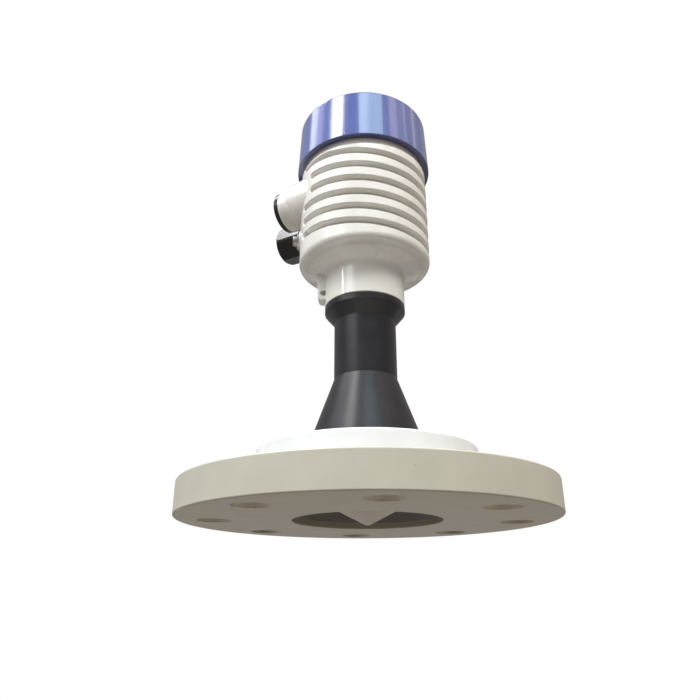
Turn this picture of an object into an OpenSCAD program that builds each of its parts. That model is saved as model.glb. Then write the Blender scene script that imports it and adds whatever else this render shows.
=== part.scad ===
// Radar level transmitter with a plastic horn antenna and a bolted flange.
// +Z runs up the axis of the horn. The origin is the centre of the flange's
// sealing face. The cable entries point along -X.

/* [Flange] */
// Outside diameter of the flange
flange_d = 200; // [188:1:212]
// Thickness of the flange
flange_t = 17; // [14:0.5:20]
// Diameter of the bolt circle
bolt_circle_d = 160; // [152:1:166]
// Number of bolt holes
bolt_count = 8; // [4:1:10]
// Diameter of a bolt hole
bolt_hole_d = 18; // [14:0.5:20]
// Angle of the first bolt hole from +X
bolt_phase = 33.2; // [0:0.1:45]
// Height of the lip that carries the horn's foot
lip_h = 3.5; // [2.5:0.1:5]
// Radius of the flange's outer edges
flange_edge = 0.8; // [0.3:0.1:2]

/* [Clamping disc] */
// Outside diameter of the clamping disc
disc_d = 121; // [117:1:126]
// Height of the clamping disc
disc_h = 18.3; // [16:0.1:24]
// Number of disc screws
disc_screw_count = 6; // [3:1:8]
// Distance from the disc's edge to a disc screw's axis
disc_screw_inset = 7.5; // [6.5:0.5:9.5]
// Shank diameter of a disc screw
disc_screw_d = 5; // [4:0.5:6]
// Depth of a disc screw in the flange
disc_screw_grip = 10; // [6:0.5:11]

/* [Horn] */
// Height of the end of the horn's outer cone above the sealing face
cone_top = 78.3; // [72:0.1:90]
// Half angle of the horn
horn_flare = 19.85; // [18:0.05:21]
// Horizontal thickness of the horn's wall
horn_wall = 5.25; // [4:0.05:6]
// Outside diameter of the tube above the cone
tube_d = 36.5; // [35.5:0.1:38]
// Length of the tube above the cone
tube_h = 35.2; // [32:0.1:45]
// Height of the flare under the collar
collar_flare_h = 6.8; // [5:0.1:9]
// Height of the collar's rim
collar_h = 3.7; // [3:0.1:6]
// Diameter of the collar and of the housing's neck
neck_d = 48; // [46:0.2:50]
// Radial width of the foot's ledge under the clamping disc
foot_ledge = 4.6; // [3.5:0.1:5]

/* [Lens] */
// Diameter of the lens
lens_d = 72; // [69:0.5:73]
// Half angle of the lens's cone
lens_angle = 64.5; // [62:0.5:68]
// Distance of the lens's tip below the sealing face
lens_drop = 2; // [0.5:0.1:4]
// Height of the lens's rim
lens_rim_h = 6; // [5:0.1:8]
// Height of the cone on the lens's inner side
lens_back_h = 22; // [15:0.5:30]
// Width of the ledge that stops the lens
lens_ledge = 3.5; // [2.5:0.1:4.5]

/* [Radar unit] */
// Bore of the waveguide
guide_bore_d = 11; // [8:0.5:13]
// Outside diameter of the waveguide
guide_d = 18; // [16:0.5:20]
// Diameter of the radar unit
unit_d = 28.6; // [27:0.1:29]
// Height of the radar unit
unit_h = 32; // [26:0.5:33]
// Thickness of the waveguide's flange
guide_flange_t = 4; // [3:0.5:5]

/* [Turning neck] */
// Width of the shoulder that the housing's neck stands on
neck_wall = 6; // [5.5:0.1:6.5]
// Height of the spigot above the collar
spigot_h = 28.8; // [27.5:0.1:29.5]
// Thickness of the retaining ring
circlip_t = 1.2; // [1:0.1:1.6]
// Width of the retaining ring outside the spigot
circlip_w = 2.6; // [2.2:0.1:3]
// Depth of the retaining ring's groove
circlip_groove = 1; // [0.6:0.1:1.4]
// Distance from the spigot's end to the retaining ring's seat
circlip_drop = 2.6; // [2:0.1:3]
// Diameter of the lock screw
lock_screw_d = 5; // [4:0.5:6]
// Height of the lock screw above the collar
lock_screw_h = 15; // [14.5:0.1:15.5]
// Length of the lock screw
lock_screw_l = 9; // [7:0.5:10]
// Angle of the lock screw from +X
lock_az = 207; // [203:1:212]
// How far the lock screw's lug stands out of the neck
lug_rise = 4.5; // [4:0.1:6]
// Width of the lock screw's lug
lug_w = 9; // [8:0.5:11]
// Height of the lug's foot above the collar
lug_foot = 5.2; // [4:0.1:7]
// Diameter of the seal wire's hole through the lug
wire_hole_d = 3.8; // [2.5:0.1:4]

/* [Housing] */
// Diameter of the housing
body_d = 80.6; // [79:0.1:83]
// Height of the housing's shoulder above the collar
body_h = 91.5; // [89.5:0.5:96]
// Height of the neck above the collar
neck_h = 21; // [19:0.5:22]
// Slope of the underside
under_slope = 19.65; // [12:0.05:22]
// Radius of the lower edge
body_edge = 4; // [2:0.1:6]
// Radius between neck and underside
neck_fillet = 3; // [1:0.1:4]
// Height of the inner floor above the collar
floor_h = 32; // [31:0.1:34]
// Thickness of the wall between the cavity and the ribs' outside
body_wall = 7.8; // [7.4:0.1:8.5]
// How much the upper ribs draw in up to the shoulder
body_draft = 0.15; // [0.1:0.05:0.3]
// Number of grooves
groove_count = 6; // [4:1:7]
// Distance between two grooves
groove_pitch = 9.8; // [8:0.1:10.5]
// Width of a groove
groove_w = 3.7; // [3:0.1:5]
// Depth of a groove
groove_depth = 5; // [3:0.1:5.5]
// Chamfer of the edges of a rib
rib_edge = 0.6; // [0.3:0.05:1]
// Distance from the shoulder to the middle of the top groove, at the axis
groove_top = 3.95; // [3.5:0.05:6]
// Angle at which the grooves rise towards the cable entries
groove_tilt = 5.6; // [4:0.1:6.5]
// Least height of the rim above the top groove
groove_rim = 1.2; // [1:0.1:2]
// Half angle of the smooth strip beside the cable entries
strip_half = 54; // [50:0.5:60]
// Half angle of the strip at the height of the entry block
strip_block_half = 66.5; // [62:0.5:75]

/* [Cable entries] */
// Height of the entries below the housing's shoulder
entry_drop = 17.2; // [16.8:0.1:20]
// Distance between the two entries
entry_pitch = 35.5; // [34:0.1:36]
// Distance from the ribs' outside back to the entry block's face
block_sink = 1.3; // [0.5:0.1:2.5]
// Radius of the entry block round each entry
block_r = 15.5; // [14.5:0.1:16.5]
// Extra radius of the block at the housing
block_draft = 2; // [0.5:0.1:3]
// Length of the two threaded stubs in front of the block
stub_h = 7.5; // [6:0.1:10]
// Diameter of a stub
stub_d = 26.6; // [25:0.1:28]
// Diameter of the entry thread
entry_d = 20; // [18:0.1:21]

/* [Gland and plug] */
// Width across flats of the gland
gland_af = 24; // [23:0.5:25]
// Height of the gland's fixed hexagon
gland_hex_h = 6; // [4:0.5:8]
// Length of the gland's nut
gland_nut_h = 20.2; // [18:0.1:26]
// Angle that the gland's nut is turned to
gland_nut_turn = 20; // [0:1:59]
// Radius of the nose of the gland's nut
gland_nose_r = 3.2; // [2:0.1:5]
// Diameter of the cable that the gland takes
cable_d = 10; // [6:0.5:11]
// Thickness of the gland's washer
gland_washer_t = 1; // [0.6:0.1:1.5]
// Thickness of the plug's head
plug_head_h = 3.3; // [3:0.1:6]
// Diameter of the plug's head
plug_head_d = 26; // [24:0.1:26.6]
// Length of the plug's and the gland's thread
entry_thread_h = 11; // [8:0.5:14]

/* [Earth terminal] */
// Angle of the earth terminal from +X
earth_az = 214; // [211:1:222]
// Height of the earth terminal above the collar
earth_h = 45.6; // [44:0.1:47]
// Diameter of the earth screw
earth_screw_d = 4; // [3:0.5:5]
// Diameter of the earth screw's head
earth_head_d = 6.6; // [6:0.1:8]
// Height of the earth screw's head
earth_head_h = 2.7; // [2:0.1:3.5]
// Radius of the boss under the earth terminal
earth_boss_r = 6.2; // [5.5:0.1:6.5]
// Thickness of the earth terminal's clamping washer
clamp_t = 1.2; // [1:0.1:1.6]
// How much the boss is wider than the clamping washer on it
clamp_step = 1; // [0.6:0.1:1.2]

/* [Cover] */
// Thickness of the cover's wall at its lower edge
cover_wall = 3.9; // [3.6:0.1:5]
// How much the cover draws in from its lower edge to its top
cover_draft = 1.6; // [0.6:0.1:2]
// Height of the cover
cover_h = 34.2; // [33:0.1:38]
// Radius of the cover's upper edge
cover_edge = 1.5; // [0.8:0.1:2.5]
// Width of the housing's shoulder round the cover thread
shoulder_w = 1.6; // [1.4:0.1:1.8]
// Length of the cover thread
cover_thread_h = 20.5; // [17:0.1:21.5]
// Width of the ledge under the glass window's rim
window_ledge = 4; // [3:0.1:5]
// Thickness of the glass window
window_t = 8; // [5:0.1:8.5]
// How far the cover's lip laps over the glass window
window_lap = 4; // [3:0.1:5]
// Thickness of the lip round the opening
cover_lip = 3.5; // [3:0.1:4.5]
// Thickness of the window's retaining ring
window_ring_t = 3; // [2:0.1:3.5]

/* [Electronics] */
// Height of the electronics can
can_h = 30; // [27:0.5:31]
// Clearance round the electronics can
can_gap = 0.5; // [0.3:0.1:1]
// Diameter of a screw of the electronics can
can_screw_d = 4; // [3:0.5:5]
// Diameter of the head of a can screw
can_head_d = 7; // [6:0.5:8]
// Depth of a can screw in the floor
can_screw_grip = 5; // [4:0.5:5.5]
// Height of the display's seat above the floor
display_seat = 58; // [55:0.5:60]
// Distance from the cavity's wall to the display module
display_inset = 3; // [2.5:0.1:4]
// Height of the display module
display_h = 12; // [10:0.5:14]
// Width of the screen
screen_w = 40; // [34:0.5:42]
// Height of the screen
screen_l = 22; // [18:0.5:24]
// Diameter of a key
key_d = 8; // [6:0.5:9]
// Distance between two keys
key_pitch = 13; // [11:0.5:15]
// Height of a key above the display
key_rise = 1.2; // [1:0.1:2]
// Number of terminals
terminal_count = 6; // [4:1:7]
// Distance between two terminals
terminal_pitch = 6; // [5:0.1:6.5]
// Length of the terminal block
terminal_l = 14; // [12:0.5:16]
// Height of the terminal block
terminal_h = 12; // [10:0.5:14]
// Diameter of a terminal's screw
terminal_screw_d = 4; // [3:0.1:4.4]
// Height of a terminal's wire hole
terminal_wire_h = 5; // [3:0.1:5]

/* [Clearances] */
// Radial clearance of the turning neck
turn_gap = 0.05; // [0.02:0.01:0.1]
// Radial clearance of a screw or threaded piece in its hole
screw_gap = 0.1; // [0.05:0.01:0.2]
// Radial clearance of pieces that sit in one another
fit_gap = 0.2; // [0.1:0.05:0.4]
// Radial clearance between the cover and the housing's thread
cover_gap = 0.3; // [0.2:0.05:0.5]
// Gap between the cover's lower edge and the housing's shoulder
cover_rest = 4.2; // [3:0.1:5]
// Gap round a key
key_gap = 0.3; // [0.2:0.05:0.5]

/* [Hidden] */
$fn = 96;

over = 1;                 // how far a cutter runs past the face it opens
end_play = 0.06;          // how much wider a groove's end is than its walls
flare = tan(horn_flare);
collar_top = cone_top + tube_h + collar_flare_h + collar_h;
z_disc = flange_t + disc_h;
tube_r = tube_d / 2;
neck_r = neck_d / 2;
body_r = body_d / 2;
cavity_r = body_r - body_wall;
spigot_r = neck_r - neck_wall;
neck_bore_r = spigot_r + turn_gap;
lens_r = lens_d / 2;

// Radius of the horn's outer cone at height z
function horn_out(z) = tube_r + (cone_top - z) * flare;
// Radius of the horn's inner cone at height z, below the lens
function horn_in(z) = horn_out(z) - horn_wall;

foot_r = horn_out(flange_t) + foot_ledge;
mouth_r = horn_in(lip_h);
seat_r = lens_r + screw_gap;
seat_z0 = lip_h + (mouth_r - seat_r) / flare;
lens_z0 = -lens_drop + lens_r / tan(lens_angle);
lens_z1 = lens_z0 + lens_rim_h;
throat_r = guide_bore_d / 2;
ledge_r = lens_r - lens_ledge;
guide_z0 = lens_z1 + (ledge_r - throat_r) / flare;
unit_bore_r = unit_d / 2 + fit_gap;
unit_z0 = cone_top + tube_h - 1.5;
unit_z1 = unit_z0 + guide_flange_t;
guide_r = guide_d / 2;

neck_z1 = collar_top + neck_h;
shoulder_z = collar_top + body_h;
floor_z = collar_top + floor_h;
clip_seat_z = collar_top + spigot_h - circlip_drop;
clip_gap = 0.15;
clip_r = spigot_r + circlip_w;
lug_reach = neck_r + lug_rise;
root_r = body_r - groove_depth;
block_reach = body_r - block_sink;
stub_reach = block_reach + stub_h;
entry_z = shoulder_z - entry_drop;
entry_y = entry_pitch / 2;
entry_r = entry_d / 2;
thread_r = entry_r - screw_gap;
stub_r = stub_d / 2;
rim_top = shoulder_z + cover_thread_h;
cover_z0 = shoulder_z + cover_rest;
cover_z1 = cover_z0 + cover_h;
cover_thread_r = body_r - shoulder_w;
cover_bore_r = cover_thread_r + cover_gap;
cover_r = cover_bore_r + cover_wall;
cover_top_r = cover_r - cover_draft;
gasket_t = 1;
gasket_z = cover_z1 - cover_lip - gasket_t;
window_z = gasket_z - window_t;
window_r = cover_bore_r - window_ledge;
window_bore_r = window_r + fit_gap;
window_open_r = window_r - window_lap;
can_r = cavity_r - can_gap;
can_top = floor_z + can_h;
seat_z = floor_z + display_seat;
display_r = cavity_r - display_inset;
face_z = seat_z + display_h;
key_inset = 13.3;          // distance of the row of keys from the display's edge
key_row_x = key_inset - display_r;
screen_x = 6;

// ---------------------------------------------------------------- helpers

// A turned ring from radius ri to ro, standing on height z
module ring(ro, ri, z, h) {
    translate([0, 0, z])
        difference() {
            cylinder(r = ro, h = h);
            translate([0, 0, -over]) cylinder(r = ri, h = h + 2 * over);
        }
}

// A plain round bar standing on height z
module post(r, z, h) {
    translate([0, 0, z]) cylinder(r = r, h = h);
}

// A sealing ring of round section
module o_ring(centre_r, section_r, z) {
    translate([0, 0, z])
        rotate_extrude() translate([centre_r, 0]) circle(section_r, $fn = 32);
}

// What a square outer corner of a profile loses to the radius r.
// (sx, sy) point from the corner into the material.
module corner_loss(x, y, r, sx, sy) {
    translate([x, y])
        difference() {
            translate([sx > 0 ? -over : -r, sy > 0 ? -over : -r]) square(r + over);
            translate([sx * r, sy * r]) circle(r, $fn = 64);
        }
}

// Puts what is drawn along +Z so that it points outwards at an angle and height
module outward(az, r, z) {
    rotate([0, 0, az]) translate([r, 0, z]) rotate([0, 90, 0]) children();
}

// Puts what is drawn along +Z so that it points along -X on an entry's axis
module at_entry(side, reach) {
    translate([-reach, side * entry_y, entry_z]) rotate([0, -90, 0]) children();
}

module hexagon(af, h) {
    cylinder(r = af / sqrt(3), h = h, $fn = 6);
}

// A socket head screw with its head's seat at the origin and its shank down
module socket_screw(d, head_d, head_h, shank) {
    difference() {
        union() {
            cylinder(d = head_d, h = head_h);
            translate([0, 0, -shank]) cylinder(d = d, h = shank + head_h / 2);
        }
        translate([0, 0, head_h / 2]) hexagon(d * 0.8, head_h);
    }
}

// ---------------------------------------------------------------- process side

disc_head_d = 8.5;
disc_head_h = disc_screw_d;
disc_seat_z = z_disc - disc_head_h - 0.5;

module disc_screw_places() {
    for (i = [0 : disc_screw_count - 1])
        rotate([0, 0, i * 360 / disc_screw_count])
            translate([disc_d / 2 - disc_screw_inset, 0, 0]) children();
}

module flange() {
    color("#c4bfa8")
    difference() {
        rotate_extrude()
            difference() {
                translate([mouth_r, 0]) square([flange_d / 2 - mouth_r, flange_t]);
                translate([0, lip_h]) square([foot_r + fit_gap, flange_t]);
                corner_loss(flange_d / 2, 0, flange_edge, -1, 1);
                corner_loss(flange_d / 2, flange_t, flange_edge, -1, -1);
            }
        for (i = [0 : bolt_count - 1])
            rotate([0, 0, bolt_phase + i * 360 / bolt_count])
                translate([bolt_circle_d / 2, 0, -over])
                    cylinder(d = bolt_hole_d, h = flange_t + 2 * over);
        disc_screw_places()
            translate([0, 0, flange_t - disc_screw_grip - 1])
                cylinder(r = disc_screw_d / 2 + screw_gap, h = disc_screw_grip + 1 + over);
    }
}

module clamp_disc() {
    color("#f4f3f0")
    difference() {
        rotate_extrude()
            difference() {
                polygon([[horn_out(flange_t) + fit_gap, flange_t], [disc_d / 2, flange_t],
                         [disc_d / 2, z_disc], [horn_out(z_disc) + fit_gap, z_disc]]);
                corner_loss(disc_d / 2, z_disc, 1, -1, -1);
                corner_loss(disc_d / 2, flange_t, 0.5, -1, 1);
            }
        disc_screw_places() {
            translate([0, 0, flange_t - over])
                cylinder(r = disc_screw_d / 2 + fit_gap, h = disc_h + 2 * over);
            translate([0, 0, disc_seat_z])
                cylinder(r = disc_head_d / 2 + 2 * fit_gap, h = disc_head_h + 2 * over);
        }
    }
}

module disc_screws() {
    color("#b9bcc0")
    disc_screw_places()
        translate([0, 0, disc_seat_z])
            socket_screw(disc_screw_d, disc_head_d, disc_head_h,
                         disc_seat_z - flange_t + disc_screw_grip);
}

foot_seal_r = 1.1;
foot_seal_z = lip_h + foot_seal_r;
foot_seal_centre = (mouth_r + foot_r) / 2;
neck_seal_r = 1.3;
neck_seal_z = collar_top + 4.2;
neck_seal_centre = spigot_r - neck_seal_r - 0.1;
lock_groove_z = collar_top + lock_screw_h;
lock_groove_w = lock_screw_d + 1.6;
lock_groove_depth = 1.2;

module horn() {
    collar_z0 = collar_top - collar_h;
    color("#2b2b2d")
    difference() {
        rotate_extrude()
            difference() {
                // foot, cone, tube, collar and spigot
                polygon([[0, lip_h], [foot_r, lip_h], [foot_r, flange_t],
                         [horn_out(flange_t), flange_t], [tube_r, cone_top],
                         [tube_r, cone_top + tube_h], [neck_r, collar_z0],
                         [neck_r, collar_top], [spigot_r, collar_top],
                         [spigot_r, collar_top + spigot_h], [0, collar_top + spigot_h]]);
                corner_loss(neck_r, collar_top, 0.6, -1, -1);
                corner_loss(spigot_r, collar_top + spigot_h, 0.6, -1, -1);
                // groove of the foot's seal, neck seal, lock screw and circlip
                translate([foot_seal_centre - foot_seal_r - 0.1, 0])
                    square([2 * foot_seal_r + 0.2, lip_h + 2 * foot_seal_r + 0.1]);
                translate([spigot_r - 2 * neck_seal_r - 0.2, neck_seal_z - neck_seal_r - 0.2])
                    square([2 * neck_seal_r + over, 2 * neck_seal_r + 0.4]);
                translate([spigot_r - lock_groove_depth, lock_groove_z - lock_groove_w / 2])
                    square([lock_groove_depth + over, lock_groove_w]);
                translate([spigot_r - circlip_groove, clip_seat_z + clip_gap])
                    square([circlip_groove + over, circlip_t + clip_gap]);
            }
        rotate_extrude() {
            // mouth, seat of the lens and ledge, then the throat
            polygon([[0, lip_h - over], [horn_in(lip_h - over), lip_h - over],
                     [seat_r, seat_z0], [seat_r, lens_z1], [ledge_r, lens_z1],
                     [throat_r, guide_z0], [0, guide_z0]]);
            translate([0, guide_z0]) square([guide_r + screw_gap, unit_z0 - guide_z0]);
            translate([0, unit_z0]) square([unit_bore_r, spigot_h + collar_top]);
        }
    }
}

module foot_seal() {
    color("#1c1c1c") o_ring(foot_seal_centre, foot_seal_r, foot_seal_z);
}

lens_seal_r = 1.2;
lens_seal_z = (lens_z0 + lens_z1) / 2 + 0.6;
lens_seal_centre = lens_r - lens_seal_r + 0.05;

module lens() {
    tip = 1.2;
    color("#eceae6")
    rotate_extrude()
        difference() {
            polygon([[0, -lens_drop], [tip, -lens_drop], [lens_r, lens_z0 + tip / tan(lens_angle)],
                     [lens_r, lens_z1], [ledge_r - 0.5, lens_z1], [0, lens_z1 + lens_back_h]]);
            translate([lens_seal_centre - lens_seal_r - 0.1, lens_seal_z - lens_seal_r - 0.2])
                square([2 * lens_seal_r + over, 2 * lens_seal_r + 0.4]);
        }
}

module lens_seal() {
    color("#1c1c1c") o_ring(lens_seal_centre, lens_seal_r, lens_seal_z);
}

module waveguide() {
    color("#c9a227")
    rotate_extrude()
        difference() {
            union() {
                translate([0, guide_z0]) square([guide_r, unit_z0 - guide_z0 + over]);
                translate([0, unit_z0]) square([unit_d / 2, guide_flange_t]);
            }
            translate([-over, guide_z0 - over]) square([throat_r + over, unit_z1]);
        }
}

module radar_unit() {
    socket_h = 3.6;
    socket_r = 3.2;
    socket_bore_r = 1.4;
    flat_h = 5;
    flat_y = unit_d / 2 - 1;
    color("#b8bcc0")
    difference() {
        union() {
            post(unit_d / 2, unit_z1, unit_h);
            post(socket_r, unit_z1 + unit_h, socket_h);
        }
        post(socket_bore_r, unit_z1 + unit_h, socket_h + over);
        // two flats for the tool that seats the unit
        for (s = [0, 180])
            rotate([0, 0, s]) translate([-unit_d / 2, flat_y, unit_z1 + unit_h - flat_h])
                cube([unit_d, 2 * over, flat_h + over]);
    }
}

module neck_seal() {
    color("#1c1c1c") o_ring(neck_seal_centre, neck_seal_r, neck_seal_z);
}

// An open retaining ring with an eye at each end
module neck_circlip() {
    eye_r = circlip_w * 0.6;
    gap_angle = 16;
    eye_x = clip_r - eye_r + 0.6;
    mouth = 2 * clip_r * [cos(gap_angle), sin(gap_angle)];
    color("#8c9094")
    translate([0, 0, clip_seat_z + clip_gap])
        linear_extrude(circlip_t)
            difference() {
                union() {
                    difference() {
                        circle(clip_r);
                        circle(spigot_r - circlip_groove + 0.1);
                        polygon([[0, 0], mouth, [mouth.x, -mouth.y]]);
                    }
                    for (s = [-1, 1])
                        rotate(s * (gap_angle + 5)) translate([eye_x, 0]) circle(eye_r);
                }
                for (s = [-1, 1])
                    rotate(s * (gap_angle + 5)) translate([eye_x, 0]) circle(eye_r * 0.45);
            }
}

// ---------------------------------------------------------------- housing

earth_z = collar_top + earth_h;
earth_boss_reach = body_r + 0.6;
earth_screw_l = 7;
can_screw_circle = cavity_r - 5.5;

// Height of the middle of a groove at the axis, counted from the top
function groove_z(i) = shoulder_z - groove_top - i * groove_pitch;
// Height of a groove's middle where it ends beside the smooth strip
function groove_end_z(i) = groove_z(i) + body_r * cos(strip_half) * tan(groove_tilt);

// Outline of the casting, with the neck's fillet and the lower edge as arcs.
// The wall is upright up to a groove at half height and draws in above it.
module body_profile() {
    half_groove = groove_z(floor(groove_count / 2));
    slope = tan(under_slope);
    edge_x = body_r - body_edge;
    edge_z = neck_z1 + (edge_x - neck_r) * slope + body_edge / cos(under_slope);
    touch = [edge_x + body_edge * sin(under_slope), edge_z - body_edge * cos(under_slope)];
    fillet_x = neck_r + neck_fillet;
    fillet_z = neck_z1 + neck_fillet * slope - neck_fillet / cos(under_slope);
    fillet_end = [fillet_x - neck_fillet * sin(under_slope),
                  fillet_z + neck_fillet * cos(under_slope)];
    difference() {
        union() {
            polygon([[0, collar_top], [neck_r, collar_top], [neck_r, neck_z1], touch,
                     [body_r, edge_z], [body_r, half_groove],
                     [body_r - body_draft, shoulder_z], [0, shoulder_z]]);
            translate([edge_x, edge_z]) circle(body_edge, $fn = 64);
            difference() {
                polygon([[neck_r - over, fillet_z], [fillet_x, fillet_z], fillet_end,
                         [neck_r - over, neck_z1]]);
                translate([fillet_x, fillet_z]) circle(neck_fillet, $fn = 64);
            }
        }
        corner_loss(neck_r, collar_top, 0.6, -1, 1);
        corner_loss(body_r - body_draft, shoulder_z, rib_edge, -1, -1);
    }
}

// One groove round the housing, with rounded ends beside the smooth strip.
// It rises towards the entries, its mouth is chamfered, and its ends are
// a little wider than its walls.
module groove(z, half) {
    wall = groove_w / 2;
    flat = groove_depth - rib_edge;
    mouth = wall + rib_edge + over;
    end_r = wall + end_play;
    translate([0, 0, z]) rotate([0, groove_tilt, 0]) {
        rotate([0, 0, 180 + half])
            rotate_extrude(angle = 360 - 2 * half)
                translate([root_r, 0])
                    polygon([[0, -wall], [flat, -wall], [groove_depth + over, -mouth],
                             [groove_depth + over, mouth], [flat, wall], [0, wall]]);
        for (s = [-1, 1])
            rotate([0, 0, 180 + s * half]) translate([root_r, 0, 0]) rotate([0, 90, 0]) {
                cylinder(r = end_r, h = groove_depth + over);
                translate([0, 0, flat])
                    cylinder(r1 = end_r, r2 = end_r + rib_edge + over, h = rib_edge + over);
            }
    }
}

// The grooves, kept below a level rim under the shoulder
module grooves() {
    intersection() {
        union() {
            for (i = [0 : groove_count - 1])
                groove(groove_z(i), abs(groove_end_z(i) - entry_z) < block_r - groove_w
                                    ? strip_block_half : strip_half);
        }
        post(body_r + 3 * over, 0, shoulder_z - groove_rim);
    }
}

// Cast block with draft that carries the two cable entries
module entry_block() {
    chamfer = 1.2;
    root = 12;
    root_block_r = block_r + block_draft;
    for (side = [-1, 1]) {
        at_entry(side, root) {
            cylinder(r1 = root_block_r, r2 = block_r, h = block_reach - root - chamfer);
            translate([0, 0, block_reach - root - chamfer])
                cylinder(r1 = block_r, r2 = block_r - chamfer, h = chamfer);
        }
        at_entry(side, block_reach - over)
            rotate_extrude()
                difference() {
                    square([stub_r, stub_reach - block_reach + over]);
                    corner_loss(stub_r, stub_reach - block_reach + over, 0.6, -1, -1);
                }
    }
    translate([0, entry_y, entry_z]) rotate([90, 0, 0])
        linear_extrude(entry_pitch)
            polygon([[-root, -root_block_r], [-block_reach + chamfer, -block_r],
                     [-block_reach, chamfer - block_r], [-block_reach, block_r - chamfer],
                     [-block_reach + chamfer, block_r], [-root, root_block_r]]);
}

// Lug on the neck for the lock screw, with a hole for a seal wire across it
module lock_lug() {
    foot_z = collar_top + lug_foot;
    corner = 2.6;
    bevel = 0.8;
    inner = neck_r - 2;
    half = lug_w / 2;
    rotate([0, 0, lock_az])
        difference() {
            intersection() {
                translate([0, half, 0]) rotate([90, 0, 0])
                    linear_extrude(lug_w)
                        difference() {
                            translate([inner, foot_z])
                                square([lug_reach - inner, neck_z1 + 2.5 - foot_z]);
                            corner_loss(lug_reach, foot_z, corner, -1, 1);
                        }
                linear_extrude(neck_z1 + 2.5)
                    polygon([[inner, -half], [lug_reach - bevel, -half],
                             [lug_reach, bevel - half], [lug_reach, half - bevel],
                             [lug_reach - bevel, half], [inner, half]]);
            }
            translate([neck_r + 0.9, half + over, foot_z + 4.2]) rotate([90, 0, 0])
                cylinder(d = wire_hole_d, h = lug_w + 2 * over);
        }
}

module housing() {
    color("#ece9e2")
    difference() {
        union() {
            difference() {
                union() {
                    rotate_extrude() body_profile();
                    rotate_extrude()
                        difference() {
                            square([cover_thread_r, rim_top]);
                            square([spigot_r, rim_top - over]);
                            square([body_r, shoulder_z - over]);
                            corner_loss(cover_thread_r, rim_top, 1, -1, -1);
                        }
                }
                grooves();
            }
            entry_block();
            lock_lug();
            outward(earth_az, cavity_r + 1, earth_z)
                cylinder(r = earth_boss_r, h = earth_boss_reach - cavity_r - 1);
        }
        // bore of the turning neck, seat of the retaining ring and cavity
        post(neck_bore_r, collar_top - over, floor_h);
        post(clip_r + 0.8, clip_seat_z, floor_h);
        post(cavity_r, floor_z, body_h + cover_thread_h);
        for (side = [-1, 1])
            at_entry(side, 0) translate([0, 0, cavity_r / 2])
                cylinder(r = entry_r, h = stub_reach);
        outward(lock_az, 0, lock_groove_z) translate([0, 0, spigot_r / 2])
            cylinder(r = lock_screw_d / 2 + screw_gap, h = lug_reach);
        outward(earth_az, cavity_r + 1.5, earth_z)
            cylinder(r = earth_screw_d / 2 + screw_gap, h = body_r);
        for (s = [-1, 1])
            translate([0, s * can_screw_circle, floor_z - can_screw_grip - 1])
                cylinder(r = can_screw_d / 2 + screw_gap, h = can_screw_grip + 1 + over);
    }
}

module lock_screw() {
    tip = 0.3;
    cone_h = 1;
    socket_h = 3;
    color("#9a9da1")
    outward(lock_az, spigot_r - lock_groove_depth + tip, lock_groove_z)
        difference() {
            union() {
                cylinder(r1 = lock_screw_d / 3, r2 = lock_screw_d / 2, h = cone_h);
                translate([0, 0, cone_h]) cylinder(d = lock_screw_d, h = lock_screw_l - cone_h);
            }
            translate([0, 0, lock_screw_l - socket_h])
                hexagon(lock_screw_d / 2, socket_h + over);
        }
}

// Round clamping washer with a shallow dish that holds the wire in
module earth_clamp() {
    washer_r = earth_boss_r - clamp_step;
    dish = 0.4;
    dish_edge = 0.9;
    color("#d4d6d8")
    outward(earth_az, earth_boss_reach, earth_z)
        difference() {
            cylinder(r = washer_r, h = clamp_t);
            translate([0, 0, -over])
                cylinder(r = earth_screw_d / 2 + fit_gap, h = clamp_t + 2 * over);
            translate([0, 0, -over]) cylinder(r = washer_r - dish_edge, h = dish + over);
        }
}

// Pan head screw with a cross of two slots
module earth_screw() {
    slot_w = 1;
    slot_depth = 1.4;
    color("#dfe1e3")
    outward(earth_az, earth_boss_reach + clamp_t, earth_z)
        difference() {
            union() {
                rotate_extrude()
                    difference() {
                        square([earth_head_d / 2, earth_head_h]);
                        corner_loss(earth_head_d / 2, earth_head_h, 1.1, -1, -1);
                    }
                translate([0, 0, -earth_screw_l])
                    cylinder(d = earth_screw_d, h = earth_screw_l + over);
            }
            for (a = [45, 135])
                rotate([0, 0, a])
                    translate([-earth_screw_d / 2, -slot_w / 2, earth_head_h - slot_depth])
                        cube([earth_screw_d, slot_w, slot_depth + over]);
        }
}

// ---------------------------------------------------------------- entries

plug_seal_r = 0.9;
plug_seal_centre = thread_r + plug_seal_r + 0.15;

module blind_plug() {
    wall = 2.5;
    end_wall = 1;
    key_af = 8;
    key_depth = 2.2;
    seal_room = 0.1;
    color("#202022")
    at_entry(-1, stub_reach)
        difference() {
            union() {
                rotate_extrude()
                    difference() {
                        square([plug_head_d / 2, plug_head_h]);
                        corner_loss(plug_head_d / 2, plug_head_h, 1, -1, -1);
                    }
                translate([0, 0, -entry_thread_h])
                    cylinder(r = thread_r, h = entry_thread_h + over);
            }
            ring(plug_seal_centre + plug_seal_r + seal_room, thread_r, -over,
                 over + 2 * plug_seal_r);
            translate([0, 0, -entry_thread_h - over])
                cylinder(r = thread_r - wall, h = entry_thread_h + over - end_wall);
            translate([0, 0, plug_head_h - key_depth]) hexagon(key_af, key_depth + over);
        }
}

module plug_seal() {
    color("#141414")
    at_entry(-1, stub_reach) o_ring(plug_seal_centre, plug_seal_r, plug_seal_r);
}

gland_z0 = stub_reach + gland_washer_t;
gland_slit = 0.4;          // what stays open between hexagon and nut
gland_nut_z0 = gland_hex_h + gland_slit;
gland_nut_z1 = gland_nut_z0 + gland_nut_h;
gland_stem_h = 10;
nut_thread_r = 9;
nut_lip = 3;
insert_r = 7.4;
insert_z0 = gland_hex_h;
insert_z1 = gland_nut_z1 - nut_lip;

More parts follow.
